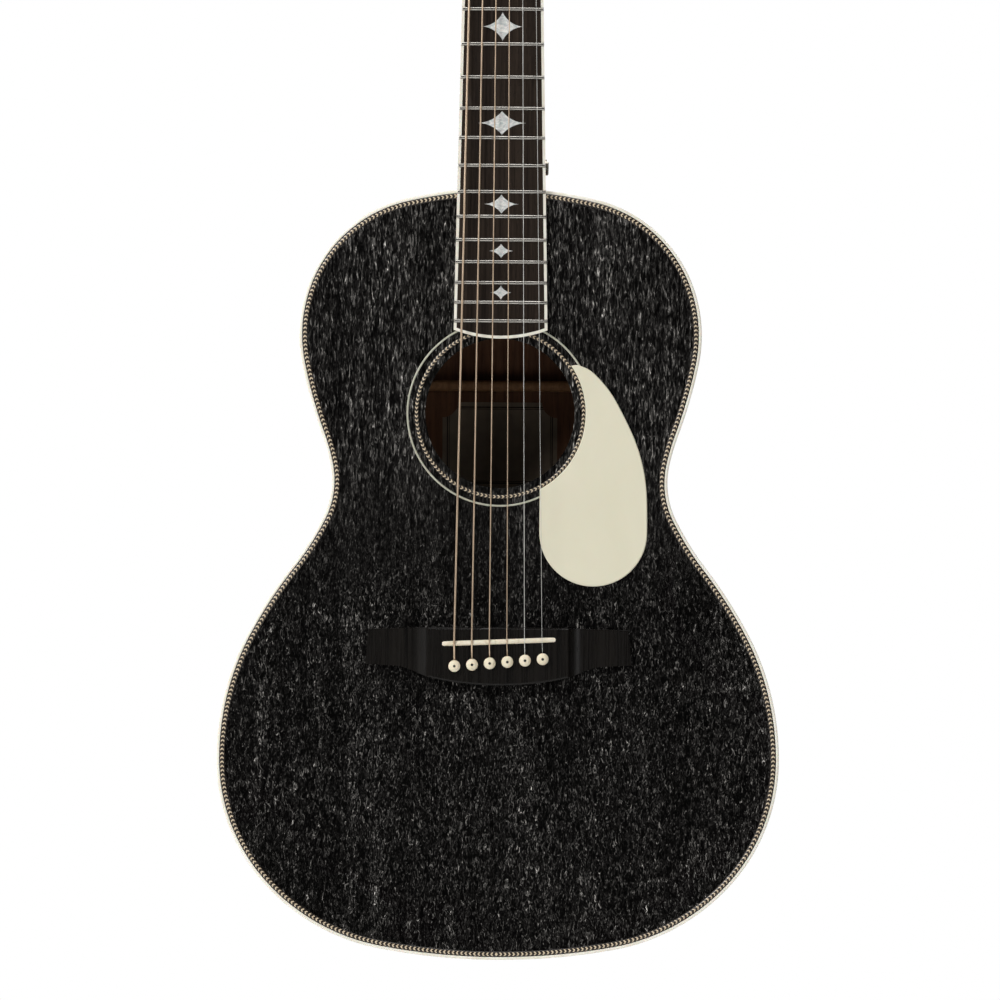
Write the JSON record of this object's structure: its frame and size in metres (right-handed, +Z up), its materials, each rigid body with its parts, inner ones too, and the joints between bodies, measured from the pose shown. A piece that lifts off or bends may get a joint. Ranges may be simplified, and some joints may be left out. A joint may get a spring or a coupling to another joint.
{
  "type": "acoustic guitar",
  "caption": "Small-bodied steel-string acoustic guitar with a hollow bound body, fourteen-fret neck, pinned bridge, pickguard and open-gear tuners that turn.",
  "frame": {"origin": "the tail end of the body, on the centre line, at mid depth", "axes": "+Z up the neck, soundboard faces -Y, +X towards the treble side"},
  "size_m": [0.3576, 0.1184, 1.008],
  "materials": {
    "black_mahogany": "open-pored black satin finish over mahogany",
    "white_binding": "polished white binding",
    "herringbone": "black and white herringbone marquetry",
    "cream_guard": "cream, softly polished",
    "ebony": "oiled dark fretboard wood",
    "bone": "polished bone",
    "spruce_inside": "bare spruce",
    "mahogany_inside": "bare mahogany",
    "maple_plate": "bare maple",
    "neck_finish": "black satin finish over mahogany",
    "black_veneer": "black satin veneer",
    "fret_nickel": "polished nickel silver",
    "pearl": "mother-of-pearl",
    "paper": "aged blank paper",
    "steel_rod": "plain steel",
    "rod_nut_brass": "machined brass",
    "nickel": "nickel plate",
    "button_cream": "polished cream",
    "pin_cream": "polished cream with a dark dot",
    "plain_steel": "tinned steel wire",
    "phosphor_bronze": "phosphor bronze winding",
    "ball_brass": "brass"
  },
  "bodies": {
    "guitar": {"back_binding": "white_binding", "back_braces": "spruce_inside", "back_plate": "black_mahogany", "bridge": "ebony", "bridge_plate": "maple_plate", "end_blocks": "mahogany_inside", "fretboard": "ebony", "fretboard_binding": "white_binding", "frets": "fret_nickel", "headstock_veneer": "black_veneer", "heel_cap": "white_binding", "label": "paper", "linings": "mahogany_inside", "neck": "neck_finish", "nut": "bone", "pickguard": "cream_guard", "plain_strings": "plain_steel", "position_markers": "pearl", "rosette": "herringbone", "saddle": "bone", "side_bass": "black_mahogany", "side_treble": "black_mahogany", "soundboard": "black_mahogany", "strap_button": "nickel", "string_ball_ends": "ball_brass", "top_binding": "white_binding", "top_braces": "spruce_inside", "top_purfling": "herringbone", "truss_rod": "steel_rod", "truss_rod_cover": "ebony", "tuner_bushings": "nickel", "tuner_plates": "nickel", "tuner_screws": "nickel", "wood_screws": "nickel", "wound_strings": "phosphor_bronze"},
    "knob_1": {"tuner_shaft_1": "nickel", "tuner_button_1": "button_cream"},
    "post_1": {"tuner_post_1": "nickel"},
    "pin_1": {"bridge_pin_1": "pin_cream"},
    "knob_2": {"tuner_shaft_2": "nickel", "tuner_button_2": "button_cream"},
    "post_2": {"tuner_post_2": "nickel"},
    "pin_2": {"bridge_pin_2": "pin_cream"},
    "knob_3": {"tuner_shaft_3": "nickel", "tuner_button_3": "button_cream"},
    "post_3": {"tuner_post_3": "nickel"},
    "pin_3": {"bridge_pin_3": "pin_cream"},
    "knob_4": {"tuner_shaft_4": "nickel", "tuner_button_4": "button_cream"},
    "post_4": {"tuner_post_4": "nickel"},
    "pin_4": {"bridge_pin_4": "pin_cream"},
    "knob_5": {"tuner_shaft_5": "nickel", "tuner_button_5": "button_cream"},
    "post_5": {"tuner_post_5": "nickel"},
    "pin_5": {"bridge_pin_5": "pin_cream"},
    "knob_6": {"tuner_shaft_6": "nickel", "tuner_button_6": "button_cream"},
    "post_6": {"tuner_post_6": "nickel"},
    "pin_6": {"bridge_pin_6": "pin_cream"},
    "rod_nut": {"truss_rod_nut": "rod_nut_brass"}
  },
  "joints": [
    {"name": "tuner_knob_1", "type": "hinge", "parent": "guitar", "child": "knob_1", "pos_m": [0.0195, -0.02833, 0.86575], "axis": [1, 0, 0], "continuous": true},
    {"name": "tuner_post_turn_1", "type": "hinge", "parent": "guitar", "child": "post_1", "pos_m": [0.0195, -0.04481, 0.878], "axis": [0, -0.9703, 0.2419], "continuous": true},
    {"name": "bridge_pin_pull_1", "type": "slide", "parent": "guitar", "child": "pin_1", "axis": [0, -1, 0], "range_m": [0, 0.03]},
    {"name": "tuner_knob_2", "type": "hinge", "parent": "guitar", "child": "knob_2", "pos_m": [0.0215, -0.01841, 0.90553], "axis": [1, 0, 0], "continuous": true},
    {"name": "tuner_post_turn_2", "type": "hinge", "parent": "guitar", "child": "post_2", "pos_m": [0.0215, -0.03489, 0.91778], "axis": [0, -0.9703, 0.2419], "continuous": true},
    {"name": "bridge_pin_pull_2", "type": "slide", "parent": "guitar", "child": "pin_2", "axis": [0, -1, 0], "range_m": [0, 0.03]},
    {"name": "tuner_knob_3", "type": "hinge", "parent": "guitar", "child": "knob_3", "pos_m": [0.0235, -0.00849, 0.94531], "axis": [1, 0, 0], "continuous": true},
    {"name": "tuner_post_turn_3", "type": "hinge", "parent": "guitar", "child": "post_3", "pos_m": [0.0235, -0.02497, 0.95756], "axis": [0, -0.9703, 0.2419], "continuous": true},
    {"name": "bridge_pin_pull_3", "type": "slide", "parent": "guitar", "child": "pin_3", "axis": [0, -1, 0], "range_m": [0, 0.03]},
    {"name": "tuner_knob_4", "type": "hinge", "parent": "guitar", "child": "knob_4", "pos_m": [-0.0235, -0.00849, 0.94531], "axis": [1, 0, 0], "continuous": true},
    {"name": "tuner_post_turn_4", "type": "hinge", "parent": "guitar", "child": "post_4", "pos_m": [-0.0235, -0.02497, 0.95756], "axis": [0, -0.9703, 0.2419], "continuous": true},
    {"name": "bridge_pin_pull_4", "type": "slide", "parent": "guitar", "child": "pin_4", "axis": [0, -1, 0], "range_m": [0, 0.03]},
    {"name": "tuner_knob_5", "type": "hinge", "parent": "guitar", "child": "knob_5", "pos_m": [-0.0215, -0.01841, 0.90553], "axis": [1, 0, 0], "continuous": true},
    {"name": "tuner_post_turn_5", "type": "hinge", "parent": "guitar", "child": "post_5", "pos_m": [-0.0215, -0.03489, 0.91778], "axis": [0, -0.9703, 0.2419], "continuous": true},
    {"name": "bridge_pin_pull_5", "type": "slide", "parent": "guitar", "child": "pin_5", "axis": [0, -1, 0], "range_m": [0, 0.03]},
    {"name": "tuner_knob_6", "type": "hinge", "parent": "guitar", "child": "knob_6", "pos_m": [-0.0195, -0.02833, 0.86575], "axis": [1, 0, 0], "continuous": true},
    {"name": "tuner_post_turn_6", "type": "hinge", "parent": "guitar", "child": "post_6", "pos_m": [-0.0195, -0.04481, 0.878], "axis": [0, -0.9703, 0.2419], "continuous": true},
    {"name": "bridge_pin_pull_6", "type": "slide", "parent": "guitar", "child": "pin_6", "axis": [0, -1, 0], "range_m": [0, 0.03]},
    {"name": "truss_rod_nut_turn", "type": "hinge", "parent": "guitar", "child": "rod_nut", "pos_m": [0, -0.046, 0.84813], "axis": [0, 0, 1], "range_deg": [-180, 180]}
  ],
  "couplings": [
    {"joint": "tuner_post_turn_1", "follows": "tuner_knob_1", "ratio": -0.071429},
    {"joint": "tuner_post_turn_2", "follows": "tuner_knob_2", "ratio": -0.071429},
    {"joint": "tuner_post_turn_3", "follows": "tuner_knob_3", "ratio": -0.071429},
    {"joint": "tuner_post_turn_4", "follows": "tuner_knob_4", "ratio": 0.071429},
    {"joint": "tuner_post_turn_5", "follows": "tuner_knob_5", "ratio": 0.071429},
    {"joint": "tuner_post_turn_6", "follows": "tuner_knob_6", "ratio": 0.071429}
  ]
}
